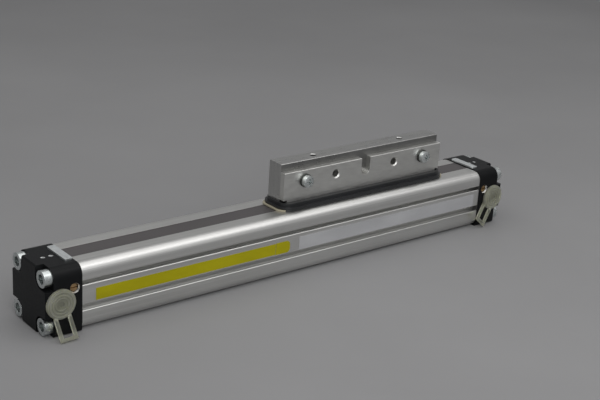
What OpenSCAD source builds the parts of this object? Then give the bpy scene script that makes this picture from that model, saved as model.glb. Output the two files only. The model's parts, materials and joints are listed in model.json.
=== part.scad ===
// Rodless pneumatic cylinder, band-sealed type, 25 mm bore.
// X runs along the barrel, -Y is the port side, +Z is up.
// The origin is at mid length, on the centreline, in the base plane of the end caps.

/* [Overall] */
// Travel of the carriage
stroke = 130; // [60:1:400]
// Total length less the stroke
dead_len = 235; // [225:1:300]
// Where the carriage stands along X, from mid length
carriage_x = 59; // [-65:1:65]

/* [Barrel section] */
// Bore of the barrel
bore_d = 25; // [24:0.1:26]
// Width and height of the barrel
barrel_w = 40; // [39:0.5:50]
// Radius of the barrel's top corners
barrel_top_r = 6; // [5:0.5:7]
// Radius of the barrel's base corners
barrel_base_r = 6; // [3:0.5:7]
// Step from the end cap down to the barrel, all round
barrel_inset = 0.5; // [0.2:0.1:1]
// Width of the slot that the yoke runs in
slot_w = 5.4; // [5:0.1:6]
// Height of the rail's centre above the bore's centre
rail_rise = 1.7; // [0:0.1:3]
// Width of the dovetail rail on each side
rail_w = 12; // [10:0.5:13]
// Mouth of the groove above the rail
upper_groove_w = 2.6; // [2:0.1:3]
// Mouth of the groove below the rail
lower_groove_w = 3.8; // [3:0.1:4.2]
// Depth of the rail grooves
groove_depth = 4; // [3:0.1:4.4]
// How far the grooves reach behind the rail
groove_undercut = 1.8; // [1:0.1:2.2]
// How far the lower grooves reach down behind the body
groove_drop = 1.2; // [0:0.1:2]
// Thickness of the rail's lips
rail_lip = 1.2; // [0.8:0.1:1.8]

/* [End caps] */
// Length of each end cap
cap_len = 22.5; // [20:0.5:30]
// Radius of the cap's top corners
cap_top_r = 6.4; // [5:0.1:8]
// Radius of the cap's base corners
cap_base_r = 2; // [1:0.5:3]
// Pitch of the four cap screws, both ways
screw_pitch = 29; // [28:0.5:31]
// Depth of the corner pockets for the screw heads
pocket_depth = 5; // [4:0.5:7]
// Depth of the seat that each head sinks into behind its pocket
head_seat = 1.2; // [0.6:0.1:2]
// Gap between a screw head and its pocket
pocket_gap = 1.1; // [0.5:0.1:1.5]
// Length of the spigot that enters the bore
spigot_len = 4; // [3:0.5:6]
// Thickness of the gasket behind each cap
gasket_t = 0.5; // [0.4:0.1:1]
// Chamfer around the cap's outer face
cap_chamfer = 0.8; // [0.3:0.1:1.2]

/* [Ports and cushioning] */
// Distance of the ports from the outer faces
port_x = 9; // [8:0.5:12]
// Core diameter of the port thread
port_thread_d = 8.8; // [8:0.1:9.5]
// Length of the port thread
port_thread_len = 7; // [6:0.5:8]
// Diameter of the spot face around the port
port_face_d = 11; // [10.5:0.1:12]
// Depth of the spot face
port_face_depth = 3; // [2:0.5:4]
// Diameter of the air passages
air_d = 5; // [4:0.5:6]
// Distance of the cushion screws from the outer faces
cushion_x = 18; // [17:0.1:18.5]
// Height of the cushion screws above the bore's centre
cushion_rise = 7.5; // [7:0.1:8]
// Diameter of the cushion screw's recess
cushion_recess_d = 6.2; // [6:0.1:6.6]
// Diameter of the cushion screw
cushion_screw_d = 4.6; // [4:0.1:5]
// Outer diameter of the cushion sleeves
sleeve_d = 10; // [9:0.5:11]
// How far the cushion sleeves reach past the spigots
sleeve_reach = 14; // [10:1:18]

/* [Bands] */
// Width of the outer sealing band
outer_band_w = 13; // [12.5:0.1:13.2]
// Width of the inner sealing band
inner_band_w = 8; // [7:0.1:8.2]
// Thickness of both bands
band_t = 0.4; // [0.3:0.05:0.5]
// Depth of the recess that the outer band lies in
band_recess = 0.6; // [0.5:0.05:0.8]
// Width of the clamp bars that hold the outer band
clamp_w = 5; // [4:0.1:5.5]
// Length of the clamp bars
clamp_len = 21.6; // [18:0.2:24]
// How far the clamp bars stand above the caps
clamp_proud = 1; // [0.5:0.1:1.5]

/* [Carriage] */
// Length of the carriage bar
bar_len = 137; // [130:1:145]
// Depth of the carriage bar
bar_d = 12; // [11:0.5:14]
// Height of the bar's top above the barrel
bar_rise = 29.5; // [26:0.5:39.5]
// Thickness of the front plate
plate_t = 4; // [3:0.5:5]
// Height of the front plate
plate_h = 20.2; // [19:0.1:21]
// Pitch of the threaded holes in the bar's top
top_pitch = 76; // [60:1:90]
// Core diameter of the M5 threads
m5_core_d = 4.2; // [4:0.1:4.4]
// Pitch of the threaded holes in the front plate
plate_hole_pitch = 51.2; // [40:0.2:60]
// Core diameter of the M6 threads in the front plate
m6_core_d = 5; // [4.9:0.1:5.2]
// Pitch of the plate screws
plate_screw_pitch = 103; // [90:1:110]
// Width of the driving notch in the front plate
notch_w = 7.5; // [6:0.5:9]
// Depth of the driving notch
notch_depth = 11.6; // [8:0.2:13]
// Thickness of the wiper frame's wall beside the foot
wiper_wall = 2.8; // [2.6:0.1:4]
// How far the wiper frame reaches past each end of the bar
wiper_reach = 3; // [2.5:0.1:4]
// Thickness of the foot's wall beside the band's tunnel
foot_wall = 3.6; // [3:0.1:4.4]

/* [Piston] */
// Length of each piston head
head_len = 32; // [28:1:34]
// Clearance of the piston in the bore, on the radius
piston_gap = 0.3; // [0.2:0.05:0.4]
// Running clearance of the seals and guide rings, on the radius
seal_gap = 0.05; // [0.02:0.01:0.08]
// Width of the piston seals
seal_w = 4; // [3:0.5:5]
// Width of the guide rings
guide_w = 6; // [4:0.5:8]

/* [Fasteners] */
// Diameter of the cap screws' heads
cap_head_d = 10.2; // [9.8:0.1:11]
// Diameter of the cap screws' shanks
cap_shank_d = 6; // [5.6:0.1:6.2]
// How far the cap screws reach into the barrel
cap_screw_bite = 18; // [12:1:24]
// Width across flats of the cap screws' sockets
cap_socket_af = 5.6; // [5:0.2:6.4]
// Diameter of the set screws
set_screw_d = 3; // [3:0.5:4]
// Diameter of the plate screws' heads
plate_head_d = 8; // [7:0.1:8.6]
// Height of the plate screws' heads
plate_head_h = 3.8; // [3:0.1:5]
// Diameter of the plate screws' shanks
plate_shank_d = 4; // [3.6:0.1:4.4]
// Thickness of the washers under the plate screws
washer_t = 1.2; // [0.8:0.1:1.6]

/* [Transport plugs] */
// Diameter of the plug's flange
plug_d = 18; // [16:0.5:19]
// Thickness of the plug's flange
plug_t = 1.6; // [1.2:0.1:2.4]
// Length of the plug's stem
stem_len = 2.6; // [2:0.1:2.8]
// Width of the pull loop
loop_w = 10.6; // [9.6:0.1:12]
// Length of the pull loop from the flange's edge
loop_len = 11.5; // [9:0.5:12]
// Width of the pull loop's straps
strap_w = 2.1; // [1.6:0.1:2.4]
// Thickness of the pull loop's straps
strap_t = 1.5; // [1:0.1:2]

/* [Hidden] */
$fn = 64;

// Clearances
seat_gap = 0.1;
run_gap = 0.2;
stop_gap = 0.5;
eps = 0.01;

// Lengths along X
total_len = stroke + dead_len;
half_len = total_len / 2;
barrel_len = total_len - 2 * (cap_len + gasket_t);
bore_end = cap_len + gasket_t;
spigot_end = cap_len + spigot_len;
piston_half = half_len - spigot_end - stop_gap - stroke / 2;

// Levels above the base plane
barrel_h = barrel_w;
cap_w = barrel_w + 2 * barrel_inset;
bore_z = cap_w / 2;
bore_r = bore_d / 2;
barrel_top = barrel_inset + barrel_h;
bar_top = barrel_top + bar_rise;
rail_z = bore_z + rail_rise;
recess_z = barrel_top - band_recess;
inner_band_z = bore_z + sqrt(bore_r * bore_r - pow(inner_band_w / 2 + seat_gap, 2)) + seat_gap;
piston_flat_z = inner_band_z - piston_gap;

// Fasteners
screw_offset = screw_pitch / 2;
head_sink = 0.2;
cap_head_h = pocket_depth + head_seat - head_sink;
socket_depth = 3;
cap_thread_depth = 9;
shank_gap = 0.05;
barrel_hole_d = cap_shank_d + 2 * shank_gap;
set_screw_xs = [port_x, cap_len - clamp_w - 2 - set_screw_d / 2];
set_screw_len = cap_w - inner_band_z - band_t - 0.3;
hex_af_set = 1.5;

// Cushion screws
cushion_z = bore_z + cushion_rise;
cushion_recess_depth = 4;
cushion_thread_depth = cap_w / 2 - 8.5;
bypass_d = 1.6;
needle_len = 3;
oring_t = 1;

// Sleeves and seals
sleeve_seat = 4;
socket_gap = 0.3;
cushion_seal_t = 1.5;
cushion_seal_w = 3;

// Bands: the outer one lifts and the inner one dips under the carriage
outer_lift = 3;
inner_dip = 5.8;
outer_flat_half = bar_len / 2 - 16;
outer_ramp_end = bar_len / 2 - 2;
inner_flat_half = 48;
inner_ramp_end = 72;
ramp_steps = 8;
outer_band_z = recess_z + eps;
band_end_x = cap_len - clamp_w - 1;
inner_end_x = 6;
band_gap = 0.25;
magnet_w = 2.5;
magnet_h = 1.4;
magnet_y = 4.5;

// Carriage
tunnel_half_w = outer_band_w / 2 + 0.3;
foot_half_w = tunnel_half_w + foot_wall;
wiper_w = 2 * (foot_half_w + wiper_wall);
bar_y0 = plate_t - (bar_d + plate_t) / 2;
bar_y1 = bar_y0 + bar_d;
plate_y0 = bar_y0 - plate_t;
yoke_plate_z = barrel_top + 0.6;
yoke_plate_t = 1.5;
foot_z = yoke_plate_z + yoke_plate_t;
foot_t = 2;
foot_half_len = bar_len / 2 - 6;
foot_top = foot_z + foot_t;
tunnel_top = outer_band_z + outer_lift + band_t + band_gap;
plate_z = foot_top + 0.2;
plate_top = plate_z + plate_h;
hole_z = plate_top - 7;
plate_thread_depth = 8;
top_thread_depth = 12;
lip_chamfer = 0.3;
edge_chamfer = 0.3;
mouth_chamfer = 0.8;
top_mouth_chamfer = 0.5;
head_dome_r = 1.1 * plate_head_d;
plate_step = [3, 1.8];
wiper_z = barrel_top + run_gap;
wiper_step_z = barrel_top + 2.5;
wiper_top = foot_top + 0.8;
wiper_step = 1.5;
wiper_corner_r = 9;
wiper_half_len = bar_len / 2 + wiper_reach;
scraper_reach = 1.4;
scraper_len = wiper_reach + scraper_reach - seat_gap;
scraper_t = 0.9;
scraper_w = wiper_w - 3.4;
scraper_r = 6;
guide_len = 12;

// Yoke
yoke_half = piston_half - head_len;
yoke_plate_half = 50;
neck_half = 47;
neck_w = slot_w - 2 * run_gap;
inner_tunnel_w = inner_band_w + 1.2;
yoke_screw_y = tunnel_half_w + 1.5;
yoke_screw_xs = [-44, -16, 16, 44];
yoke_shank_d = 2.4;
yoke_head_d = 3.6;
yoke_head_h = 0.8;
yoke_screw_len = 3;
coupling_d = 12;
coupling_len = 6;
magnet_d = 6;
magnet_len = 4;

// Transport plugs
stem_d = port_face_d - 0.4;
ring_ds = [15.6, 12, 8.4];
ring_w = 0.8;
ring_h = 0.35;

// ---------- helpers ----------

// Draws a YZ outline along X from x0, for a length
module along_x(x0, length)
    translate([x0, 0, 0]) rotate([90, 0, 90]) linear_extrude(length) children();

// Draws an XZ outline across Y, centred, for a width
module across_y(width)
    translate([0, width / 2, 0]) rotate([90, 0, 0]) linear_extrude(width) children();

// Cylinder along +X from x0
module rod_x(d, x0, length, y = 0, z = 0)
    translate([x0, y, z]) rotate([0, 90, 0]) cylinder(h = length, d = d);

// Cylinder along +Y from y0
module rod_y(d, y0, length, x = 0, z = 0)
    translate([x, y0, z]) rotate([-90, 0, 0]) cylinder(h = length, d = d);

// Block between two corners
module block(low, high)
    translate(low) cube(high - low);

// Places things measured from the left end's outer face
module left_end()
    translate([-half_len, 0, 0]) children();

// Mirrors the left end's things to the right end
module right_end()
    mirror([1, 0, 0]) left_end() children();

// Repeats at the four cap screw axes
module at_cap_screws()
    for (sy = [-1, 1], sz = [-1, 1])
        translate([0, sy * screw_offset, bore_z + sz * screw_offset]) children();

// Places things measured from the carriage's middle
module on_carriage()
    translate([carriage_x, 0, 0]) children();

// Outline with round corners, standing on z0
module body_outline(w, h, z0, top_r, base_r) {
    translate([-w / 2, z0 + base_r]) square([w, h - top_r - base_r]);
    translate([-w / 2 + base_r, z0]) square([w - 2 * base_r, base_r + eps]);
    translate([-w / 2 + top_r, z0 + h - top_r - eps]) square([w - 2 * top_r, top_r + eps]);
    for (s = [-1, 1]) {
        translate([s * (w / 2 - base_r), z0 + base_r]) circle(base_r);
        translate([s * (w / 2 - top_r), z0 + h - top_r]) circle(top_r);
    }
}

// Rectangle with round corners, centred
module round_rect(length, w, r) {
    square([length - 2 * r, w], center = true);
    square([length, w - 2 * r], center = true);
    for (sx = [-1, 1], sy = [-1, 1])
        translate([sx * (length / 2 - r), sy * (w / 2 - r)]) circle(r);
}

// Cuts a 45 degree chamfer along an edge that runs along X
module chamfer_x(length, y, z, size)
    translate([0, y, z]) rotate([45, 0, 0]) cube([length, size * sqrt(2), size * sqrt(2)], center = true);

// ---------- barrel ----------

// One groove beside a rail: u runs along the face from the rail's edge, v goes in from the face
module groove_outline(mouth, drop)
    polygon([
        [0, lip_chamfer], [-lip_chamfer - 1, -1], [mouth + lip_chamfer + 1, -1], [mouth, lip_chamfer],
        [mouth, rail_lip], [mouth + drop, rail_lip + drop],
        [mouth + drop, groove_depth], [-groove_undercut, groove_depth],
        [-groove_undercut, rail_lip + 1], [0, rail_lip],
    ]);

// The pair of grooves of one rail, about the rail's middle, u along the face and v inwards
module rail_outline(mouth_a, mouth_b, drop_b) {
    translate([rail_w / 2, 0]) groove_outline(mouth_a, 0);
    mirror([1, 0]) translate([rail_w / 2, 0]) groove_outline(mouth_b, drop_b);
}

// Grooves of the rail on the port side
module side_rail()
    translate([-barrel_w / 2, rail_z]) mirror([1, -1]) rail_outline(upper_groove_w, lower_groove_w, groove_drop);

module barrel_outline()
    difference() {
        body_outline(barrel_w, barrel_h, barrel_inset, barrel_top_r, barrel_base_r);
        translate([0, bore_z]) circle(bore_r);
        // slot, with the recesses of both bands
        translate([-slot_w / 2, bore_z]) square([slot_w, barrel_h]);
        translate([-inner_band_w / 2 - seat_gap, bore_z])
            square([inner_band_w + 2 * seat_gap, inner_band_z + band_t + seat_gap - bore_z]);
        translate([-outer_band_w / 2 - seat_gap, recess_z]) square([outer_band_w + 2 * seat_gap, 2]);
        for (s = [-1, 1])
            translate([s * magnet_y - magnet_w / 2, recess_z - magnet_h]) square([magnet_w, magnet_h + 1]);
        // corner channels for the cap screws
        for (sy = [-1, 1], sz = [-1, 1])
            translate([sy * screw_offset, bore_z + sz * screw_offset]) circle(d = barrel_hole_d);
        // rails on both sides and underneath
        side_rail();
        mirror([1, 0]) side_rail();
        translate([0, barrel_inset]) rail_outline(upper_groove_w, upper_groove_w, 0);
    }

module barrel()
    color([0.74, 0.74, 0.73])
        along_x(-barrel_len / 2, barrel_len) barrel_outline();

// ---------- end caps ----------

// Pocket of one screw head, open at its corner of the cap
module head_pocket(sy, sz) {
    pocket_r = cap_head_d / 2 + pocket_gap;
    reach = cap_w / 2;
    translate([0, sy * screw_offset, bore_z + sz * screw_offset]) {
        rod_x(2 * pocket_r, -1, pocket_depth + 1);
        translate([-1, sy > 0 ? 0 : -reach, sz > 0 ? -pocket_r : -reach])
            cube([pocket_depth + 1, reach, reach + pocket_r]);
        translate([-1, sy > 0 ? -pocket_r : -reach, sz > 0 ? 0 : -reach])
            cube([pocket_depth + 1, reach + pocket_r, reach]);
    }
}

module port_hole() {
    y0 = -cap_w / 2;
    rod_y(port_face_d, y0 - 1, port_face_depth + 1, port_x, bore_z);
    rod_y(port_thread_d, y0, port_face_depth + port_thread_len, port_x, bore_z);
    rod_y(air_d, y0, cap_w / 2 + air_d / 2, port_x, bore_z);
}

module cushion_hole() {
    y0 = -cap_w / 2;
    rod_y(cushion_recess_d, y0 - 1, cushion_recess_depth + 1, cushion_x, cushion_z);
    rod_y(cushion_screw_d, y0, cushion_thread_depth, cushion_x, cushion_z);
    rod_y(bypass_d, y0, cushion_thread_depth + needle_len, cushion_x, cushion_z);
}

// Chamfers on the four short edges that the pockets leave on the outer face
module face_chamfers()
    translate([0, 0, bore_z])
        for (a = [0, 90, 180, 270])
            rotate([a, 0, 0]) translate([0, 0, cap_w / 2]) rotate([0, 45, 0])
                cube([cap_chamfer * sqrt(2), cap_w, cap_chamfer * sqrt(2)], center = true);

module end_cap()
    color([0.07, 0.07, 0.075])
        difference() {
            union() {
                along_x(0, cap_len) body_outline(cap_w, cap_w, 0, cap_top_r, cap_base_r);
                difference() {
                    rod_x(bore_d - 2 * seat_gap, cap_len - 1, spigot_len + 1, 0, bore_z);
                    block([0, -bore_r, piston_flat_z], [spigot_end + 1, bore_r, barrel_top]);
                    // groove of the O-ring
                    difference() {
                        rod_x(bore_d + 2, oring_x(), oring_t + seat_gap, 0, bore_z);
                        rod_x(bore_d - 2 * seat_gap - 2 * oring_t, oring_x() - 1, oring_t + 3, 0, bore_z);
                    }
                }
            }
            for (sy = [-1, 1], sz = [-1, 1]) head_pocket(sy, sz);
            at_cap_screws() {
                rod_x(cap_head_d + 2 * run_gap, 0, pocket_depth + head_seat);
                rod_x(barrel_hole_d, 0, cap_len + 1);
            }
            port_hole();
            cushion_hole();
            face_chamfers();
            // air passage on the axis, with the sleeve's seat
            rod_x(air_d, port_x, spigot_end, 0, bore_z);
            rod_x(sleeve_d, cap_len - sleeve_seat, spigot_len + sleeve_seat + 1, 0, bore_z);
            // bypass from the cushion screw to the bore
            rod_x(bypass_d, cushion_x, spigot_end, needle_tip_y(), cushion_z);
            // slot for the inner band's end
            block([inner_end_x, -inner_band_w / 2 - seat_gap, inner_band_z - seat_gap],
                  [cap_len + 1, inner_band_w / 2 + seat_gap, inner_band_z + band_t + seat_gap]);
            // set screw holes down to the inner band
            for (x = set_screw_xs)
                translate([x, 0, inner_band_z]) cylinder(h = cap_w, d = set_screw_d + 2 * shank_gap);
            // seat of the clamp bar and of the outer band under it
            translate([cap_len - clamp_w / 2 - 0.5, 0, outer_band_z + band_t])
                linear_extrude(cap_w) round_rect(clamp_w + 2 * seat_gap, clamp_len + 2 * seat_gap, 1);
            block([band_end_x - seat_gap, -outer_band_w / 2 - seat_gap, recess_z],
                  [cap_len + 1, outer_band_w / 2 + seat_gap, outer_band_z + band_t + seat_gap]);
        }

function oring_x() = cap_len + spigot_len / 2;
function needle_tip_y() = -cap_w / 2 + cushion_thread_depth + bypass_d;

module end_cap_left() left_end() end_cap();
module end_cap_right() right_end() end_cap();

module cap_gasket()
    color([0.72, 0.60, 0.42])
        along_x(cap_len, gasket_t) difference() {
            body_outline(barrel_w, barrel_h, barrel_inset, barrel_top_r, barrel_base_r);
            translate([0, bore_z]) circle(bore_r);
            for (sy = [-1, 1], sz = [-1, 1])
                translate([sy * screw_offset, bore_z + sz * screw_offset]) circle(d = barrel_hole_d);
            translate([-inner_band_w / 2 - seat_gap, bore_z])
                square([inner_band_w + 2 * seat_gap, inner_band_z + band_t + seat_gap - bore_z]);
            translate([-outer_band_w / 2 - seat_gap, recess_z]) square([outer_band_w + 2 * seat_gap, 2]);
        }

module cap_gasket_left() left_end() cap_gasket();
module cap_gasket_right() right_end() cap_gasket();

module cap_screw()
    color([0.78, 0.79, 0.78])
        difference() {
            union() {
                rod_x(cap_head_d, head_sink, cap_head_h);
                rod_x(cap_shank_d, head_sink + cap_head_h - eps, bore_end + cap_screw_bite - cap_head_h);
            }
            translate([head_sink - 1, 0, 0]) rotate([0, 90, 0])
                cylinder(h = socket_depth + 1, d = cap_socket_af / cos(30), $fn = 6);
            rod_x(m5_core_d, head_sink, cap_thread_depth);
        }

module cap_screws_left() left_end() at_cap_screws() cap_screw();
module cap_screws_right() right_end() at_cap_screws() cap_screw();

module spigot_oring()
    color([0.1, 0.1, 0.1])
        difference() {
            rod_x(bore_d - 2 * shank_gap, oring_x() + seat_gap / 2, oring_t, 0, bore_z);
            rod_x(bore_d - 2 * seat_gap - 2 * oring_t, oring_x() - 1, oring_t + 3, 0, bore_z);
            block([0, -bore_r, piston_flat_z], [spigot_end + 1, bore_r, barrel_top]);
        }

module spigot_oring_left() left_end() spigot_oring();
module spigot_oring_right() right_end() spigot_oring();

module cushion_sleeve()
    color([0.80, 0.66, 0.36])
        difference() {
            rod_x(sleeve_d, cap_len - sleeve_seat, sleeve_seat + spigot_len + sleeve_reach, 0, bore_z);
            rod_x(air_d, cap_len - sleeve_seat - 1, total_len, 0, bore_z);
        }

module cushion_sleeve_left() left_end() cushion_sleeve();
module cushion_sleeve_right() right_end() cushion_sleeve();

module band_clamp()
    color([0.72, 0.74, 0.75])
        translate([cap_len - clamp_w / 2 - 0.5, 0, outer_band_z + band_t])
            linear_extrude(cap_w + clamp_proud - outer_band_z - band_t)
                round_rect(clamp_w, clamp_len, 1);

module band_clamp_left() left_end() band_clamp();
module band_clamp_right() right_end() band_clamp();

module clamp_set_screw()
    color([0.70, 0.71, 0.72])
        difference() {
            cylinder(h = set_screw_len, d = set_screw_d);
            translate([0, 0, set_screw_len - 1.5]) cylinder(h = 2, d = hex_af_set / cos(30), $fn = 6);
        }

module clamp_set_screws()
    for (x = set_screw_xs)
        translate([x, 0, inner_band_z + band_t]) clamp_set_screw();

module clamp_set_screws_left() left_end() clamp_set_screws();
module clamp_set_screws_right() right_end() clamp_set_screws();

// ---------- bands and magnet strips ----------

// Height of a band above its flat run, 1 under the carriage and 0 outside, with a smooth ramp between
function ramp(u) = u * u * (3 - 2 * u);

// Path of a band in X and Z: flat, ramp, raised or sunk run, ramp, flat
function band_path(x0, x1, flat_half, ramp_end, z0, rise) = concat(
    [[x0, z0]],
    [for (i = [0 : ramp_steps]) let (u = i / ramp_steps)
        [carriage_x - ramp_end + u * (ramp_end - flat_half), z0 + rise * ramp(u)]],
    [for (i = [0 : ramp_steps]) let (u = i / ramp_steps)
        [carriage_x + flat_half + u * (ramp_end - flat_half), z0 + rise * ramp(1 - u)]],
    [[x1, z0]]
);

// Outline between two heights above a path
module path_outline(path, low, high) {
    n = len(path);
    polygon(concat(
        [for (p = path) [p[0], p[1] + low]],
        [for (i = [n - 1 : -1 : 0]) [path[i][0], path[i][1] + high]]
    ));
}

outer_path = band_path(-half_len + band_end_x, half_len - band_end_x,
                       outer_flat_half, outer_ramp_end, outer_band_z, outer_lift);
inner_path = band_path(-half_len + inner_end_x + seat_gap, half_len - inner_end_x - seat_gap,
                       inner_flat_half, inner_ramp_end, inner_band_z, -inner_dip);

module outer_band()
    color([0.36, 0.34, 0.34])
        across_y(outer_band_w) path_outline(outer_path, 0, band_t);

module inner_band()
    color([0.45, 0.45, 0.46])
        across_y(inner_band_w) path_outline(inner_path, 0, band_t);

module magnet_strip(side)
    color([0.16, 0.15, 0.15])
        along_x(-barrel_len / 2, barrel_len)
            translate([side * magnet_y - magnet_w / 2 + seat_gap / 2, recess_z - magnet_h])
                square([magnet_w - seat_gap, magnet_h]);

module magnet_strip_front() magnet_strip(-1);
module magnet_strip_rear() magnet_strip(1);

// ---------- cushion screws ----------

module cushion_screw()
    color([0.72, 0.47, 0.24])
        translate([cushion_x, -cap_w / 2, cushion_z])
            difference() {
                union() {
                    rod_y(cushion_screw_d - 2 * shank_gap, 1.2, cushion_thread_depth - 2.2);
                    rod_y(bypass_d - 2 * seat_gap, cushion_thread_depth - 1.5, 2);
                }
                // neck that holds the O-ring
                difference() {
                    rod_y(cushion_recess_d, cushion_recess_depth + 1, oring_t + seat_gap);
                    rod_y(cushion_screw_d - 2 * oring_t, cushion_recess_depth, oring_t + 3);
                }
                block([-cushion_screw_d, 0, -0.4], [cushion_screw_d, 2.4, 0.4]);
            }

module cushion_screw_left() left_end() cushion_screw();
module cushion_screw_right() right_end() cushion_screw();

module cushion_oring()
    color([0.1, 0.1, 0.1])
        translate([cushion_x, -cap_w / 2, cushion_z])
            difference() {
                rod_y(cushion_screw_d - 2 * shank_gap, cushion_recess_depth + 1 + seat_gap / 2, oring_t);
                rod_y(cushion_screw_d - 2 * oring_t, cushion_recess_depth, oring_t + 3);
            }

module cushion_oring_left() left_end() cushion_oring();
module cushion_oring_right() right_end() cushion_oring();

// ---------- transport plugs ----------

// Flange, rings and stem, turned about the port's axis; +Z of the profile points out of the port
module plug_disc()
    rotate([90, 0, 0]) {
        difference() {
            union() {
                cylinder(h = plug_t - ring_h, d = plug_d);
                cylinder(h = plug_t, d = plug_d - 2 * ring_h);
                for (d = ring_ds) difference() {
                    cylinder(h = plug_t + ring_h, d = d);
                    translate([0, 0, plug_t]) cylinder(h = 1, d = d - 2 * ring_w);
                }
            }
            // dimple in the middle
            translate([0, 0, plug_t - 0.4]) cylinder(h = 1, d = 3);
        }
        translate([0, 0, -stem_len]) difference() {
            cylinder(h = stem_len + eps, d = stem_d);
            translate([0, 0, -1]) cylinder(h = stem_len, d = stem_d - 3);
        }
    }

// Pull loop that hangs from the flange's edge, leaning out by an angle
module plug_loop(lean)
    translate([0, -0.75 * plug_t, -plug_d / 2 + 1])
        rotate([-lean, 0, 0]) {
            for (s = [-1, 1])
                translate([s * (loop_w - strap_w) / 2 - strap_w / 2, -strap_t / 2, -loop_len])
                    cube([strap_w, strap_t, loop_len + 1]);
            translate([-loop_w / 2, -strap_t / 2, -loop_len - strap_w]) cube([loop_w, strap_t, strap_w + eps]);
        }

// A plug on its port, with its loop turned about the port's axis and leaning out
module port_plug(turn, lean)
    color([0.80, 0.80, 0.66])
        translate([port_x, -cap_w / 2, bore_z])
            rotate([0, turn, 0]) {
                plug_disc();
                plug_loop(lean);
            }

module port_plug_left() left_end() port_plug(-4, 30);
module port_plug_right() translate([total_len - 2 * port_x, 0, 0]) left_end() port_plug(42, 12);

// ---------- carriage ----------

module carrier_bar()
    color([0.66, 0.66, 0.65])
        on_carriage() difference() {
            union() {
                block([-foot_half_len, -foot_half_w, foot_z], [foot_half_len, foot_half_w, foot_top]);
                block([-bar_len / 2, bar_y0, foot_z], [bar_len / 2, bar_y1, bar_top]);
            }
            // tunnel for the outer band
            block([-bar_len, -tunnel_half_w, foot_z - 1], [bar_len, tunnel_half_w, tunnel_top]);
            for (s = [-1, 1]) {
                translate([s * top_pitch / 2, (bar_y0 + bar_y1) / 2, bar_top - top_thread_depth])
                    cylinder(h = top_thread_depth + 1, d = m5_core_d);
                translate([s * top_pitch / 2, (bar_y0 + bar_y1) / 2, bar_top - top_mouth_chamfer])
                    cylinder(h = 2 * top_mouth_chamfer, d1 = m5_core_d, d2 = m5_core_d + 4 * top_mouth_chamfer);
                rod_y(m6_core_d, bar_y0 - 1, plate_thread_depth - plate_t + 1, s * plate_hole_pitch / 2, hole_z);
                rod_y(plate_shank_d + 2 * shank_gap, bar_y0 - 1, plate_thread_depth + 1,
                      s * plate_screw_pitch / 2, hole_z);
            }
            for (y = [bar_y0, bar_y1]) chamfer_x(bar_len + 1, y, bar_top, edge_chamfer);
            for (x = yoke_screw_xs, s = [-1, 1])
                translate([x, s * yoke_screw_y, foot_z - 1])
                    cylinder(h = yoke_screw_len - yoke_plate_t + 1 + seat_gap, d = yoke_shank_d + 2 * shank_gap);
        }

module front_plate()
    color([0.70, 0.70, 0.69])
        on_carriage() difference() {
            block([-bar_len / 2, plate_y0, plate_z], [bar_len / 2, bar_y0, plate_top]);
            for (s = [-1, 1]) {
                rod_y(m6_core_d, plate_y0 - 1, plate_t + 2, s * plate_hole_pitch / 2, hole_z);
                translate([s * plate_hole_pitch / 2, plate_y0 + mouth_chamfer, hole_z]) rotate([90, 0, 0])
                    cylinder(h = 2 * mouth_chamfer, d1 = m6_core_d, d2 = m6_core_d + 4 * mouth_chamfer);
                rod_y(plate_shank_d + 2 * shank_gap, plate_y0 - 1, plate_t + 2, s * plate_screw_pitch / 2, hole_z);
                translate([s * bar_len / 2, 0, plate_z])
                    cube([2 * plate_step[0], 4 * plate_t + 10, 2 * plate_step[1]], center = true);
            }
            // driving notch with a round end
            rod_y(notch_w, plate_y0 - 1, plate_t + 2, 0, plate_top - notch_depth + notch_w / 2);
            block([-notch_w / 2, plate_y0 - 1, plate_top - notch_depth + notch_w / 2],
                  [notch_w / 2, bar_y0 + 1, plate_top + 1]);
            chamfer_x(bar_len + 1, plate_y0, plate_top, edge_chamfer);
        }

module at_plate_screws()
    on_carriage() for (s = [-1, 1])
        translate([s * plate_screw_pitch / 2, plate_y0, hole_z]) children();

module plate_screws()
    color([0.72, 0.75, 0.72])
        at_plate_screws() difference() {
            union() {
                rotate([90, 0, 0]) translate([0, 0, washer_t]) intersection() {
                    cylinder(h = plate_head_h, d = plate_head_d);
                    translate([0, 0, plate_head_h - head_dome_r]) sphere(head_dome_r);
                }
                rod_y(plate_shank_d, -washer_t - eps, washer_t + plate_t + plate_thread_depth - 1);
            }
            for (a = [0, 90])
                translate([0, -washer_t - plate_head_h, 0]) rotate([0, a, 0])
                    cube([4.2, 3.6, 0.9], center = true);
        }

module plate_washers()
    color([0.25, 0.26, 0.25])
        at_plate_screws() difference() {
            rod_y(plate_head_d + 0.8, -washer_t, washer_t);
            rod_y(plate_shank_d + 2 * shank_gap, -washer_t - 1, washer_t + 2);
        }

module wiper_frame()
    color([0.06, 0.06, 0.065])
        on_carriage() difference() {
            union() {
                translate([0, 0, wiper_z]) linear_extrude(wiper_step_z - wiper_z)
                    round_rect(2 * wiper_half_len, wiper_w, wiper_corner_r);
                translate([0, 0, wiper_step_z - eps]) linear_extrude(wiper_top - wiper_step_z + eps)
                    round_rect(2 * (wiper_half_len - wiper_step), wiper_w - 2 * wiper_step,
                               wiper_corner_r - wiper_step);
            }
            // room for the bar's foot, and a smaller mouth around the bar and plate
            block([-foot_half_len - seat_gap, -foot_half_w - seat_gap, barrel_top],
                  [foot_half_len + seat_gap, foot_half_w + seat_gap, foot_top]);
            block([-bar_len / 2 - seat_gap, plate_y0 - seat_gap, barrel_top],
                  [bar_len / 2 + seat_gap, bar_y1 + seat_gap, wiper_top + 1]);
            // seats of the scrapers
            for (s = [-1, 1]) translate([0, 0, barrel_top]) mirror([s > 0 ? 0 : 1, 0, 0])
                linear_extrude(run_gap / 2 + scraper_t + seat_gap) scraper_outline(seat_gap);
        }

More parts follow.
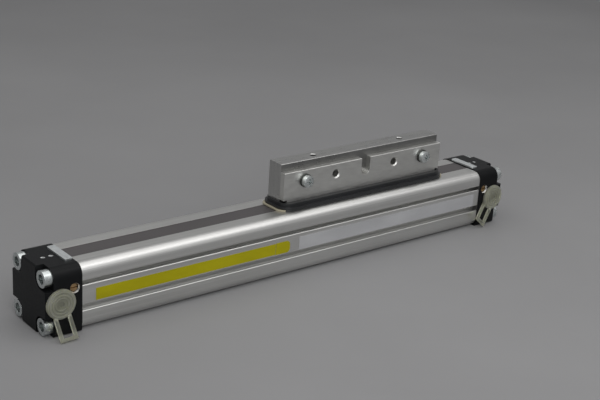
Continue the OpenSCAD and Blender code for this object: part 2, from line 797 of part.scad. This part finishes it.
// Outline of the right-hand scraper, grown by a gap: a lip that follows the frame's round end
module scraper_outline(gap)
    intersection() {
        round_rect(2 * (wiper_half_len + scraper_reach + gap), scraper_w + 2 * gap, scraper_r + gap);
        translate([wiper_half_len + scraper_reach - scraper_len - gap, -scraper_w])
            square([scraper_len + 2 * gap, 2 * scraper_w]);
    }

module band_scraper(side)
    color([0.76, 0.66, 0.46])
        on_carriage() mirror([side > 0 ? 0 : 1, 0, 0]) translate([0, 0, barrel_top + run_gap / 2])
            linear_extrude(scraper_t) scraper_outline(0);

module band_scraper_left() band_scraper(-1);
module band_scraper_right() band_scraper(1);

// Wedge in the bar's tunnel that leads the outer band down into its recess
module band_guide(side)
    color([0.10, 0.10, 0.10])
        difference() {
            on_carriage() mirror([side > 0 ? 0 : 1, 0, 0])
                block([bar_len / 2 - guide_len, -tunnel_half_w + seat_gap, barrel_top + run_gap],
                      [bar_len / 2, tunnel_half_w - seat_gap, tunnel_top]);
            across_y(barrel_w) path_outline(outer_path, -outer_lift, band_t + band_gap);
        }

module band_guide_left() band_guide(-1);
module band_guide_right() band_guide(1);

// ---------- piston ----------

module piston_yoke()
    color([0.62, 0.62, 0.61])
        difference() {
            on_carriage() difference() {
                union() {
                    difference() {
                        rod_x(bore_d - 2 * piston_gap, -yoke_half, 2 * yoke_half, 0, bore_z);
                        block([-half_len, -bore_r, piston_flat_z], [half_len, bore_r, barrel_top]);
                    }
                    block([-neck_half, -neck_w / 2, bore_z], [neck_half, neck_w / 2, yoke_plate_z + eps]);
                    block([-yoke_plate_half, -foot_half_w, yoke_plate_z], [yoke_plate_half, foot_half_w, foot_z]);
                }
                for (x = yoke_screw_xs, s = [-1, 1]) translate([x, s * yoke_screw_y, yoke_plate_z - 1]) {
                    cylinder(h = 1 + yoke_head_h, d = yoke_head_d + 2 * seat_gap);
                    cylinder(h = yoke_plate_t + 2, d = yoke_shank_d + 2 * shank_gap);
                }
                for (s = [-1, 1]) mirror([s > 0 ? 0 : 1, 0, 0])
                    rod_x(coupling_d, yoke_half - coupling_len, coupling_len + 1, 0, bore_z - coupling_drop());
                for (s = [-1, 1]) rod_y(magnet_d + 2 * seat_gap, s > 0 ? bore_r - magnet_len : -bore_r - 1,
                                        magnet_len + 1, 0, bore_z);
            }
            across_y(inner_tunnel_w) path_outline(inner_path, -band_gap, band_t + band_gap);
        }

function coupling_drop() = 3;

module yoke_screws()
    color([0.35, 0.35, 0.36])
        on_carriage() for (x = yoke_screw_xs, s = [-1, 1])
            translate([x, s * yoke_screw_y, yoke_plate_z]) {
                cylinder(h = yoke_head_h, d = yoke_head_d);
                cylinder(h = yoke_screw_len, d = yoke_shank_d);
            }

// Turned shape of a piston head, from the yoke's end outwards
module head_blank()
    difference() {
        union() {
            rod_x(bore_d - 2 * piston_gap, yoke_half, head_len, 0, bore_z);
            rod_x(coupling_d - 2 * seat_gap, yoke_half - coupling_len + seat_gap, coupling_len, 0,
                  bore_z - coupling_drop());
        }
        block([0, -bore_r, piston_flat_z], [half_len, bore_r, barrel_top]);
        // socket for the cushion sleeve, with the seat of its seal
        rod_x(sleeve_d + 2 * socket_gap, piston_half - sleeve_reach - 2, half_len, 0, bore_z);
        rod_x(cushion_seal_od(), piston_half - cushion_seal_w, half_len, 0, bore_z);
        ring_groove(seal_x0(), seal_w);
        ring_groove(guide_x0(), guide_w);
    }

function cushion_seal_od() = sleeve_d + 2 * socket_gap + 2 * cushion_seal_t;
function seal_x0() = piston_half - 5 - seal_w;
function guide_x0() = piston_half - 13 - guide_w;
function ring_id() = bore_d - 2 * piston_gap - 3;

module ring_groove(x0, w)
    difference() {
        rod_x(bore_d + 4, x0, w, 0, bore_z);
        rod_x(ring_id(), x0 - 1, w + 2, 0, bore_z);
    }

// Places a right-hand piston piece on either side of the carriage's middle
module on_side(side)
    on_carriage() mirror([side > 0 ? 0 : 1, 0, 0]) children();

module piston_head(side)
    color([0.30, 0.31, 0.33])
        difference() {
            on_side(side) head_blank();
            across_y(inner_tunnel_w) path_outline(inner_path, -band_gap, barrel_h);
        }

module piston_head_left() piston_head(-1);
module piston_head_right() piston_head(1);

// Ring in a piston groove, flat under the inner band
module piston_ring(side, x0, w)
    difference() {
        on_side(side) difference() {
            rod_x(bore_d - 2 * seal_gap, x0 + seat_gap / 2, w - seat_gap, 0, bore_z);
            rod_x(ring_id(), x0 - 1, w + 2, 0, bore_z);
            block([0, -bore_r, piston_flat_z], [half_len, bore_r, barrel_top]);
        }
        across_y(inner_tunnel_w) path_outline(inner_path, -band_gap, barrel_h);
    }

module piston_seal_left() color([0.12, 0.12, 0.13]) piston_ring(-1, seal_x0(), seal_w);
module piston_seal_right() color([0.12, 0.12, 0.13]) piston_ring(1, seal_x0(), seal_w);
module guide_ring_left() color([0.25, 0.35, 0.30]) piston_ring(-1, guide_x0(), guide_w);
module guide_ring_right() color([0.25, 0.35, 0.30]) piston_ring(1, guide_x0(), guide_w);

module cushion_seal(side)
    color([0.12, 0.12, 0.13])
        on_side(side) difference() {
            rod_x(cushion_seal_od(), piston_half - cushion_seal_w, cushion_seal_w, 0, bore_z);
            rod_x(sleeve_d + 2 * shank_gap, 0, half_len, 0, bore_z);
        }

module cushion_seal_left() cushion_seal(-1);
module cushion_seal_right() cushion_seal(1);

module piston_magnets()
    color([0.45, 0.45, 0.47])
        on_carriage() for (s = [-1, 1])
            rod_y(magnet_d, s > 0 ? bore_r - magnet_len : -bore_r + 0.8, magnet_len - 0.8, 0, bore_z);

// ---------- drawing ----------

barrel();
end_cap_left();
end_cap_right();
cap_gasket_left();
cap_gasket_right();
cap_screws_left();
cap_screws_right();
spigot_oring_left();
spigot_oring_right();
cushion_sleeve_left();
cushion_sleeve_right();
band_clamp_left();
band_clamp_right();
clamp_set_screws_left();
clamp_set_screws_right();
outer_band();
inner_band();
magnet_strip_front();
magnet_strip_rear();
cushion_screw_left();
cushion_screw_right();
cushion_oring_left();
cushion_oring_right();
port_plug_left();
port_plug_right();
carrier_bar();
front_plate();
plate_screws();
plate_washers();
wiper_frame();
band_scraper_left();
band_scraper_right();
band_guide_left();
band_guide_right();
piston_yoke();
yoke_screws();
piston_head_left();
piston_head_right();
piston_seal_left();
piston_seal_right();
guide_ring_left();
guide_ring_right();
cushion_seal_left();
cushion_seal_right();
piston_magnets();
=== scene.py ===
"""Looks for the rodless pneumatic cylinder: materials, sealing bands cut in halves at the carriage, bare label
strips, rims round the cushion screws, stage, light and camera. Lengths are in metres unless a name says otherwise."""

import json
import math

import bmesh
import bpy
from mathutils import Matrix, Vector


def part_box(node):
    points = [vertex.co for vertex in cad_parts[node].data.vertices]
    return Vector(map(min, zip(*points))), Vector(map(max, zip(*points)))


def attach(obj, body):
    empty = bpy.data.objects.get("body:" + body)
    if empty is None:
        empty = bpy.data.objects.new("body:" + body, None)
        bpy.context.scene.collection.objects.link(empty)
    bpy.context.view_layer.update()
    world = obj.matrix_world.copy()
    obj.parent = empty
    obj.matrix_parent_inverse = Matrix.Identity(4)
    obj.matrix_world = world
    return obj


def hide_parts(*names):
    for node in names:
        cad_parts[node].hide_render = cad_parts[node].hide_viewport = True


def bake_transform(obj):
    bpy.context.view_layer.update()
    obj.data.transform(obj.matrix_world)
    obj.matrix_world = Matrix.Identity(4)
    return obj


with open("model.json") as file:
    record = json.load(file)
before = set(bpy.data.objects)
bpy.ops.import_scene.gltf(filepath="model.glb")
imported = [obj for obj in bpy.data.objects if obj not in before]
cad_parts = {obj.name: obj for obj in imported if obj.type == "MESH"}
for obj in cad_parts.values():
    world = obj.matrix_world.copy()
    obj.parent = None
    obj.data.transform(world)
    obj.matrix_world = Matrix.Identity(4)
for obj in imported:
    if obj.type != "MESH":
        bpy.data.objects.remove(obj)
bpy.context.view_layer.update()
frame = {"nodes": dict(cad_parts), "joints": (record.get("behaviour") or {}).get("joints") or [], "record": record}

NODES = frame["nodes"]
SIDES = ("left", "right")
MM = 0.001


# ---------------------------------------------------------------- shader helpers

UNSTRETCHED = (1.0, 1.0, 1.0)
BEVEL_SAMPLES = 6


def new_material(name):
    """A material with its Principled shader: returns (material, node tree, shader)."""
    mat = bpy.data.materials.new(name)
    mat.use_nodes = True
    return mat, mat.node_tree, mat.node_tree.nodes["Principled BSDF"]


def coords(tree, stretch=UNSTRETCHED):
    """Object coordinates times a factor per axis."""
    tex = tree.nodes.new("ShaderNodeTexCoord")
    mapping = tree.nodes.new("ShaderNodeMapping")
    mapping.inputs["Scale"].default_value = stretch
    tree.links.new(tex.outputs["Object"], mapping.inputs["Vector"])
    return mapping.outputs["Vector"]


def noise(tree, vector, scale, detail=4.0, rough=0.55):
    """Noise between 0 and 1 that is mostly near the middle."""
    node = tree.nodes.new("ShaderNodeTexNoise")
    node.inputs["Scale"].default_value = scale
    node.inputs["Detail"].default_value = detail
    node.inputs["Roughness"].default_value = rough
    tree.links.new(vector, node.inputs["Vector"])
    return node.outputs["Fac"]


def ramp(tree, fac, dark, light, low=0.3, high=0.7):
    """Colour that goes from dark, where fac is low, to light, where it is high."""
    node = tree.nodes.new("ShaderNodeValToRGB")
    for element, place, rgb in zip(node.color_ramp.elements, (low, high), (dark, light)):
        element.position = place
        element.color = (*rgb, 1.0)
    tree.links.new(fac, node.inputs["Fac"])
    return node.outputs["Color"]


def remap(tree, fac, low, high, from_low=0.3, from_high=0.7):
    """Takes values between from_low and from_high to low and high, and holds those beyond at the ends."""
    node = tree.nodes.new("ShaderNodeMapRange")
    node.inputs["From Min"].default_value = from_low
    node.inputs["From Max"].default_value = from_high
    node.inputs["To Min"].default_value = low
    node.inputs["To Max"].default_value = high
    tree.links.new(fac, node.inputs["Value"])
    return node.outputs["Result"]


def vector_node(tree, operation, vector):
    """A vector maths node whose first input is linked."""
    node = tree.nodes.new("ShaderNodeVectorMath")
    node.operation = operation
    tree.links.new(vector, node.inputs[0])
    return node


def scaled(tree, colour, factor):
    """The colour times a factor."""
    node = vector_node(tree, "SCALE", colour)
    tree.links.new(factor, node.inputs["Scale"])
    return node.outputs["Vector"]


def bump(tree, fac, strength, depth, edge=0.0):
    """Bump from a height, over edges that a bevel node rounds by `edge`."""
    node = tree.nodes.new("ShaderNodeBump")
    node.inputs["Strength"].default_value = strength
    node.inputs["Distance"].default_value = depth
    tree.links.new(fac, node.inputs["Height"])
    if edge:
        bevel = tree.nodes.new("ShaderNodeBevel")
        bevel.samples = BEVEL_SAMPLES
        bevel.inputs["Radius"].default_value = edge
        tree.links.new(bevel.outputs["Normal"], node.inputs["Normal"])
    return node.outputs["Normal"]


def surface(tree, shader, fine, rough, spread, strength, depth, edge=0.0):
    """Uneven roughness and bump from a fine noise; roughness reaches `spread` (below, above) from rough."""
    below, above = spread
    tree.links.new(remap(tree, fine, rough - below, rough + above), shader.inputs["Roughness"])
    tree.links.new(bump(tree, fine, strength, depth, edge), shader.inputs["Normal"])


# ---------------------------------------------------------------- kinds of material

ALONG_X = (4.0, 1400.0, 1400.0)  # grain drawn along the barrel
METAL_SPREAD, METAL_DEPTH = (0.08, 0.08), 0.00006
METAL_CLOUD_SHARE = 0.45  # the rest of the colour's unevenness is grain
METAL_STOPS = (0.32, 0.68)
PLASTIC_SPREAD, PLASTIC_DEPTH = (0.06, 0.08), 0.00005
PLASTIC_CLOUD = 30.0
# Painted shade on faces to the front: the normals between which it fades in.
FRONT_SHADE_NORMALS = (-0.95, -0.6)  # Y of a normal that counts as fully to the front, and of one that no longer does


def front_painted_shade(tree, colour, tone):
    """The colour, times a tone on faces that look to the front (-Y): painted shade, darker where these faces get less
    light.
    """
    tex = tree.nodes.new("ShaderNodeTexCoord")
    split = tree.nodes.new("ShaderNodeSeparateXYZ")
    tree.links.new(tex.outputs["Normal"], split.inputs["Vector"])
    return scaled(tree, colour, remap(tree, split.outputs["Y"], tone, 1.0, *FRONT_SHADE_NORMALS))


def metal(name, dark, light, rough, grain, grain_scale=1.0, strength=0.12, edge=0.0002, metallic=1.0, cloud=14.0,
          front=1.0):
    """Metal with a directional grain (stretch per axis), slow colour clouds and uneven roughness. Its faces to the
    front take the tone `front`, a painted shade."""
    mat, tree, shader = new_material(name)
    fine = noise(tree, coords(tree, grain), grain_scale, detail=6.0, rough=0.6)
    slow = noise(tree, coords(tree), cloud, detail=3.0)
    mix = tree.nodes.new("ShaderNodeMix")
    mix.data_type = "FLOAT"
    mix.inputs["Factor"].default_value = METAL_CLOUD_SHARE
    tree.links.new(fine, mix.inputs["A"])
    tree.links.new(slow, mix.inputs["B"])
    colour = ramp(tree, mix.outputs["Result"], dark, light, *METAL_STOPS)
    # Painted shade: faces to the front made darker.
    if front != 1.0:
        colour = front_painted_shade(tree, colour, front)
    tree.links.new(colour, shader.inputs["Base Color"])
    shader.inputs["Metallic"].default_value = metallic
    surface(tree, shader, fine, rough, METAL_SPREAD, strength, METAL_DEPTH, edge)
    return mat


def plastic(name, dark, light, rough, skin=700.0, strength=0.15, edge=0.0003, specular=0.5):
    """Plastic, rubber or paint with a fine skin and faint colour clouds."""
    mat, tree, shader = new_material(name)
    fine = noise(tree, coords(tree), skin)
    slow = noise(tree, coords(tree), PLASTIC_CLOUD)
    tree.links.new(ramp(tree, slow, dark, light), shader.inputs["Base Color"])
    shader.inputs["Specular IOR Level"].default_value = specular
    surface(tree, shader, fine, rough, PLASTIC_SPREAD, strength, PLASTIC_DEPTH, edge)
    return mat


# The plug's plastic: radii are parts of its disc's radius.
# Colour darker towards the disc's middle: its tone there, and where it is full and where it is gone.
MIDDLE_DARK_TONE, MIDDLE_DARK_FULL_TO, MIDDLE_DARK_GONE_AT = 0.55, 0.15, 0.8
DISC_CLEARNESS, LOOP_CLEARNESS = 0.72, 0.95
DISC_ENDS_AT, LOOP_STARTS_AT = 0.98, 1.1
PLUG_SKIN, PLUG_CLOUD = 600.0, 120.0
GLOW_WEIGHT, GLOW_RGB, GLOW_DEPTH = 0.3, (0.9, 0.9, 0.6), 0.002


def plug_plastic(name, dark, light, rough, port, disc_radius, strength=0.12, edge=0.0003):
    """Milky moulded plastic that light gets into: darker towards the middle of a disc round the port (or round the
    port's mirror image in X), and clearer in the thin loop outside the disc."""
    mat, tree, shader = new_material(name)
    place = coords(tree)
    fine = noise(tree, place, PLUG_SKIN)
    slow = noise(tree, place, PLUG_CLOUD)
    mirrored = vector_node(tree, "ABSOLUTE", place)
    in_plane = vector_node(tree, "MULTIPLY", mirrored.outputs["Vector"])
    in_plane.inputs[1].default_value = (1, 0, 1)
    reach = vector_node(tree, "DISTANCE", in_plane.outputs["Vector"])
    reach.inputs[1].default_value = (abs(port[0]), 0, port[2])
    distance = reach.outputs["Value"]
    # Colour darker towards the middle of the disc, full towards its rim.
    middle_darkening = remap(tree, distance, MIDDLE_DARK_TONE, 1.0, MIDDLE_DARK_FULL_TO * disc_radius, MIDDLE_DARK_GONE_AT * disc_radius)
    tree.links.new(scaled(tree, ramp(tree, slow, dark, light), middle_darkening), shader.inputs["Base Color"])
    clearness = remap(tree, distance, DISC_CLEARNESS, LOOP_CLEARNESS,
                      DISC_ENDS_AT * disc_radius, LOOP_STARTS_AT * disc_radius)
    tree.links.new(clearness, shader.inputs["Transmission Weight"])
    shader.inputs["Subsurface Weight"].default_value = GLOW_WEIGHT
    shader.inputs["Subsurface Radius"].default_value = GLOW_RGB
    shader.inputs["Subsurface Scale"].default_value = GLOW_DEPTH
    surface(tree, shader, fine, rough, PLASTIC_SPREAD, strength, PLASTIC_DEPTH, edge)
    return mat


FILM_GRAIN, FILM_CLOUD, FILM_CLOUD_STRETCH = 260.0, 22.0, (1.0, 3.0, 3.0)
FILM_SPREAD, FILM_STRENGTH, FILM_DEPTH = (0.05, 0.07), 0.10, 0.00006


def label_material(name, dark, light, rough, metallic=0.0, specular=0.5):
    """Printed film without any print: a little uneven in tone and gloss."""
    mat, tree, shader = new_material(name)
    fine = noise(tree, coords(tree), FILM_GRAIN, detail=5.0)
    slow = noise(tree, coords(tree, FILM_CLOUD_STRETCH), FILM_CLOUD)
    tree.links.new(ramp(tree, slow, dark, light), shader.inputs["Base Color"])
    shader.inputs["Metallic"].default_value = metallic
    shader.inputs["Specular IOR Level"].default_value = specular
    surface(tree, shader, fine, rough, FILM_SPREAD, FILM_STRENGTH, FILM_DEPTH)
    return mat


# ---------------------------------------------------------------- materials

barrel_mat = metal("barrel_anodised", (0.60, 0.60, 0.585), (0.74, 0.74, 0.72), rough=0.38, grain=ALONG_X,
                   strength=0.10, edge=0.00022)
# The bar's faces to the front get painted shade (front=0.5), darker than its end and top.
bar_mat = metal("carriage_aluminium", (0.44, 0.44, 0.43), (0.56, 0.56, 0.545), rough=0.32,
                grain=(60.0, 900.0, 60.0), strength=0.14, edge=0.00025, front=0.5)
plate_mat = metal("front_plate_aluminium", (0.56, 0.56, 0.54), (0.66, 0.66, 0.635), rough=0.44,
                  grain=(60.0, 300.0, 300.0), grain_scale=3.0, strength=0.10, edge=0.00025)
yoke_mat = metal("yoke_aluminium", (0.50, 0.50, 0.49), (0.62, 0.62, 0.60), rough=0.38, grain=ALONG_X)
zinc_mat = metal("zinc_plated_steel", (0.50, 0.54, 0.54), (0.74, 0.77, 0.76), rough=0.30,
                 grain=(500.0, 500.0, 500.0), strength=0.16, edge=0.00025, cloud=160.0)
clamp_mat = metal("clamp_steel", (0.72, 0.76, 0.77), (0.86, 0.89, 0.89), rough=0.42,
                  grain=(900.0, 400.0, 900.0), strength=0.08)
bright_steel_mat = metal("bright_steel", (0.82, 0.84, 0.84), (0.92, 0.93, 0.93), rough=0.46,
                         grain=(900.0, 900.0, 900.0), strength=0.10)
dark_steel_mat = metal("dark_steel", (0.05, 0.055, 0.05), (0.11, 0.115, 0.11), rough=0.42,
                       grain=(500.0, 500.0, 500.0), strength=0.15)
band_mat = metal("band_steel", (0.114, 0.106, 0.107), (0.152, 0.143, 0.144), rough=0.46,
                 grain=(10.0, 1200.0, 1200.0), strength=0.10, edge=0.0, metallic=0.75)
brass_mat = metal("brass", (0.33, 0.21, 0.105), (0.55, 0.38, 0.205), rough=0.34,
                  grain=(300.0, 1200.0, 300.0), strength=0.2)
rim_mat = metal("bright_rim", (0.50, 0.50, 0.48), (0.66, 0.66, 0.64), rough=0.30,
                grain=(600.0, 600.0, 600.0), strength=0.15)

cap_mat = plastic("cap_black_anodised", (0.004, 0.0045, 0.005), (0.0075, 0.008, 0.0085), rough=0.34,
                  skin=900.0, strength=0.16, edge=0.00035, specular=0.12)
wiper_mat = plastic("wiper_black", (0.009, 0.010, 0.011), (0.017, 0.018, 0.020), rough=0.38,
                    skin=1100.0, strength=0.12, edge=0.0004)
gasket_mat = plastic("gasket_fibre", (0.035, 0.034, 0.033), (0.06, 0.058, 0.055), rough=0.75)
rubber_mat = plastic("black_rubber", (0.012, 0.012, 0.012), (0.022, 0.022, 0.022), rough=0.6)
amber_mat = plastic("amber_polyurethane", (0.30, 0.275, 0.20), (0.38, 0.35, 0.26), rough=0.42)
magnet_mat = plastic("magnet_strip", (0.05, 0.045, 0.045), (0.09, 0.085, 0.085), rough=0.6)
piston_mat = plastic("piston_plastic", (0.05, 0.055, 0.06), (0.085, 0.09, 0.10), rough=0.5)
guide_mat = plastic("guide_ring_plastic", (0.03, 0.06, 0.045), (0.05, 0.09, 0.07), rough=0.5)

port_at = next(mount for mount in frame["record"]["mounts"] if mount["name"] == "port_left")["pos_m"]
flange_radius = port_at[0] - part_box("port_plug_left")[0].x
plug_mat = plug_plastic("plug_plastic", (0.66, 0.67, 0.52), (0.93, 0.94, 0.76), rough=0.36,
                        port=port_at, disc_radius=flange_radius)

yellow_mat = label_material("yellow_film", (0.29, 0.262, 0.002), (0.375, 0.338, 0.003), rough=0.42, specular=0.2)
silver_mat = label_material("silver_film", (0.44, 0.445, 0.455), (0.54, 0.545, 0.555), rough=0.44, metallic=0.45)

BY_NODE = {
    "barrel": barrel_mat,
    "cap_gasket_left": gasket_mat,
    "cap_gasket_right": gasket_mat,
    "inner_band": band_mat,
    "outer_band": band_mat,
    "carrier_bar": bar_mat,
    "front_plate": plate_mat,
    "plate_screws": zinc_mat,
    "plate_washers": dark_steel_mat,
    "wiper_frame": wiper_mat,
    "piston_yoke": yoke_mat,
    "yoke_screws": dark_steel_mat,
    "piston_magnets": dark_steel_mat,
    "magnet_strip_front": magnet_mat,
    "magnet_strip_rear": magnet_mat,
}
for side in SIDES:
    BY_NODE.update({
        f"end_cap_{side}": cap_mat,
        f"cap_screws_{side}": zinc_mat,
        f"spigot_oring_{side}": rubber_mat,
        f"cushion_sleeve_{side}": brass_mat,
        f"band_clamp_{side}": clamp_mat,
        f"clamp_set_screws_{side}": bright_steel_mat,
        f"cushion_screw_{side}": brass_mat,
        f"cushion_oring_{side}": rubber_mat,
        f"port_plug_{side}": plug_mat,
        f"band_scraper_{side}": amber_mat,
        f"band_guide_{side}": wiper_mat,
        f"piston_head_{side}": piston_mat,
        f"piston_seal_{side}": rubber_mat,
        f"guide_ring_{side}": guide_mat,
        f"cushion_seal_{side}": rubber_mat,
    })

for node, mat in BY_NODE.items():
    NODES[node].data.materials.clear()
    NODES[node].data.materials.append(mat)


# ---------------------------------------------------------------- helpers for pieces


def add_object(name, data):
    """A new object in the scene."""
    obj = bpy.data.objects.new(name, data)
    bpy.context.scene.collection.objects.link(obj)
    return obj


def mesh_object(name, bm, mat, body, smooth_angle=35.0):
    """Turns a bmesh into a piece that rides on a body, if one is named, and takes a slot's finish."""
    bmesh.ops.recalc_face_normals(bm, faces=bm.faces)
    mesh = bpy.data.meshes.new(name)
    bm.to_mesh(mesh)
    bm.free()
    for poly in mesh.polygons:
        poly.use_smooth = True
    mesh.set_sharp_from_angle(angle=math.radians(smooth_angle))
    obj = add_object(name, mesh)
    mesh.materials.append(mat)
    if body:
        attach(obj, body)
    return obj


def prism(bm, outline, direction):
    """Closed prism from a planar outline (list of points) swept along a direction."""
    step = Vector(direction)
    low = [bm.verts.new(p) for p in outline]
    high = [bm.verts.new(Vector(p) + step) for p in outline]
    count = len(outline)
    bm.faces.new(low[::-1])
    bm.faces.new(high)
    for i in range(count):
        j = (i + 1) % count
        bm.faces.new((low[i], low[j], high[j], high[i]))


def ring(bm, centre, axis, profile, segments=48):
    """Revolves a closed profile of (radius, height along axis) about an axis through a centre."""
    axis = Vector(axis).normalized()
    across = axis.orthogonal().normalized()
    other = axis.cross(across)
    loops = []
    for k in range(segments):
        a = 2 * math.pi * k / segments
        out = across * math.cos(a) + other * math.sin(a)
        loops.append([bm.verts.new(Vector(centre) + out * r + axis * h) for r, h in profile])
    count = len(profile)
    for k in range(segments):
        first, second = loops[k], loops[(k + 1) % segments]
        for i in range(count):
            j = (i + 1) % count
            bm.faces.new((first[i], second[i], second[j], first[j]))


# ---------------------------------------------------------------- sealing bands, cut in halves at the carriage

MERGE_DISTANCE, CUT_DISTANCE = 1e-6, 1e-7
BAND_SMOOTH_ANGLE = 30.0

carriage_x = sum(corner.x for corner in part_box("carrier_bar")) / 2


def band_half(node, side):
    """Half of a band, from the CAD's own shape, cut at the carriage's middle and closed at the cut; the CAD band is
    hidden.
    Its end lies in the cap; the flat stretch between it and the ramp up under the carriage has a row of vertices at
    each end and none between."""
    bm = bmesh.new()
    bm.from_mesh(NODES[node].data)
    bmesh.ops.remove_doubles(bm, verts=bm.verts, dist=MERGE_DISTANCE)
    outward = 1 if side == "left" else -1
    bmesh.ops.bisect_plane(bm, geom=bm.verts[:] + bm.edges[:] + bm.faces[:], dist=CUT_DISTANCE,
                           plane_co=(carriage_x, 0, 0), plane_no=(outward, 0, 0), clear_outer=True)
    bmesh.ops.contextual_create(bm, geom=[edge for edge in bm.edges if edge.is_boundary])
    half = mesh_object(f"{node}_{side}_half", bm, band_mat, None, BAND_SMOOTH_ANGLE)
    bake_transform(half)
    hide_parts(node)


for side in SIDES:
    band_half("outer_band", side)
    band_half("inner_band", side)


# ---------------------------------------------------------------- bare label strips on the front rail

FILM, THICK_FILM = 0.00012, 0.0002
CORNER_STEPS = 8  # in a quarter of a circle

left_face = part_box("end_cap_left")[0].x
rail_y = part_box("barrel")[0].y


def strip(name, x_mm, z_mm, mat, corner_mm=0.0, thickness=FILM):
    """Thin film on the rail's front; its right end's corners may be rounded."""
    x_left, x_right = (left_face + x * MM for x in x_mm)
    z_low, z_high = (z * MM for z in z_mm)
    r = corner_mm * MM
    outline = [(x_left, z_low)]
    if r:
        for start, z in ((-math.pi / 2, z_low + r), (0.0, z_high - r)):
            for k in range(CORNER_STEPS + 1):
                a = start + k * math.pi / (2 * CORNER_STEPS)
                outline.append((x_right - r + r * math.cos(a), z + r * math.sin(a)))
    else:
        outline += [(x_right, z_low), (x_right, z_high)]
    outline.append((x_left, z_high))
    bm = bmesh.new()
    prism(bm, [(x, rail_y - thickness, z) for x, z in outline], (0, thickness, 0))
    mesh_object(name, bm, mat, "cylinder")


# From, to: along X from the left cap's outer face, and in Z from the base plane.
strip("label_strip_yellow", x_mm=(31.6, 159.4), z_mm=(17.2, 24.6), mat=yellow_mat)
strip("label_strip_yellow_end", x_mm=(159.7, 170.8), z_mm=(17.0, 24.8), mat=yellow_mat, corner_mm=2.6,
      thickness=THICK_FILM)
strip("label_strip_silver", x_mm=(178.3, 337.2), z_mm=(16.7, 25.6), mat=silver_mat)


# ---------------------------------------------------------------- bright rims round the cushion screws

# Radii, and heights from the cap's front face. The plug's flange lies on that face, so the crest stays below it.
RIM_OUTER, RIM_CREST, RIM_FOOT, RIM_THROAT = 0.00310, 0.00305, 0.00296, 0.00250
CREST_HEIGHT, THROAT_HEIGHT, FOOT_HEIGHT = -0.00006, -0.0011, -0.0016
RIM_PROFILE = [(RIM_OUTER, CREST_HEIGHT), (RIM_OUTER, FOOT_HEIGHT), (RIM_FOOT, FOOT_HEIGHT),
               (RIM_THROAT, THROAT_HEIGHT), (RIM_CREST, CREST_HEIGHT)]

for side in SIDES:
    joint = next(j for j in frame["joints"] if j["name"] == f"needle_{side}_turn")
    bm = bmesh.new()
    ring(bm, joint["pos_m"], (0, -1, 0), RIM_PROFILE)
    mesh_object(f"cushion_rim_{side}", bm, rim_mat, "cylinder")


# ---------------------------------------------------------------- stage

FLOOR_REACH = 6.0
FLOOR_DARK, FLOOR_LIGHT = (0.226, 0.226, 0.229), (0.258, 0.258, 0.261)
FLOOR_CLOUD, FLOOR_ROUGH, FLOOR_SPECULAR = 3.0, 0.65, 0.25


def floor_material():
    """Plain grey, hardly uneven."""
    mat, tree, shader = new_material("floor_grey")
    slow = noise(tree, coords(tree), FLOOR_CLOUD, detail=5.0)
    tree.links.new(ramp(tree, slow, FLOOR_DARK, FLOOR_LIGHT), shader.inputs["Base Color"])
    shader.inputs["Roughness"].default_value = FLOOR_ROUGH
    shader.inputs["Specular IOR Level"].default_value = FLOOR_SPECULAR
    return mat


mesh = bpy.data.meshes.new("floor")
corners = [(-FLOOR_REACH, -FLOOR_REACH, 0), (FLOOR_REACH, -FLOOR_REACH, 0),
           (FLOOR_REACH, FLOOR_REACH, 0), (-FLOOR_REACH, FLOOR_REACH, 0)]
mesh.from_pydata(corners, [], [(0, 1, 2, 3)])
mesh.materials.append(floor_material())
floor = add_object("floor", mesh)


# ---------------------------------------------------------------- light

WORLD_COLOUR, WORLD_STRENGTH = (0.445, 0.445, 0.45, 1.0), 0.67


def area_light(name, location, target, size, watts, colour):
    """A rectangular lamp at a location that faces a target."""
    lamp = bpy.data.lights.new(name, "AREA")
    lamp.shape = "RECTANGLE"
    lamp.size, lamp.size_y = size
    lamp.energy = watts
    lamp.color = colour
    obj = add_object(name, lamp)
    obj.location = location
    direction = Vector(target) - Vector(location)
    obj.rotation_euler = direction.to_track_quat("-Z", "Y").to_euler()


area_light("overhead", location=(-0.05, -0.10, 1.05), target=(-0.03, -0.06, 0.0), size=(1.7, 1.6), watts=7.8,
           colour=(1.0, 0.99, 0.98))
area_light("streak", location=(0.58, -0.51, 0.90), target=(0.0, 0.0, 0.03), size=(0.56, 0.56), watts=1.12,
           colour=(1.0, 0.99, 1.0))
area_light("front", location=(-0.35, -1.05, 0.66), target=(0.05, -0.16, 0.0), size=(1.0, 0.7), watts=7.0,
           colour=(0.99, 0.99, 1.0))

world = bpy.data.worlds.new("studio")
world.use_nodes = True
background = world.node_tree.nodes["Background"]
background.inputs["Color"].default_value = WORLD_COLOUR
background.inputs["Strength"].default_value = WORLD_STRENGTH
bpy.context.scene.world = world


# ---------------------------------------------------------------- camera, at the photograph's angle

CAMERA_AT = Vector((-0.46615, -0.57332, 0.31884))
YAW, PITCH, ROLL = math.radians(39.76), math.radians(-20.42), math.radians(3.719)
FOCAL_PX, WIDTH_PX = 1224.0, 600.0
SENSOR_MM = 36.0
CLIP_START = 0.01

forward = Vector((math.sin(YAW) * math.cos(PITCH), math.cos(YAW) * math.cos(PITCH), math.sin(PITCH)))
right = Vector((math.cos(YAW), -math.sin(YAW), 0.0))
up = right.cross(forward)
cam_right = right * math.cos(ROLL) + up * math.sin(ROLL)
cam_up = up * math.cos(ROLL) - right * math.sin(ROLL)
rotation = Matrix((cam_right, cam_up, -forward)).transposed()
cam_data = bpy.data.cameras.new("camera")
cam_data.sensor_width = SENSOR_MM
cam_data.lens = SENSOR_MM * FOCAL_PX / WIDTH_PX
cam_data.clip_start = CLIP_START
camera = add_object("camera", cam_data)
camera.matrix_world = Matrix.Translation(CAMERA_AT) @ rotation.to_4x4()
bpy.context.scene.camera = camera
bpy.context.scene.view_settings.view_transform = "Standard"
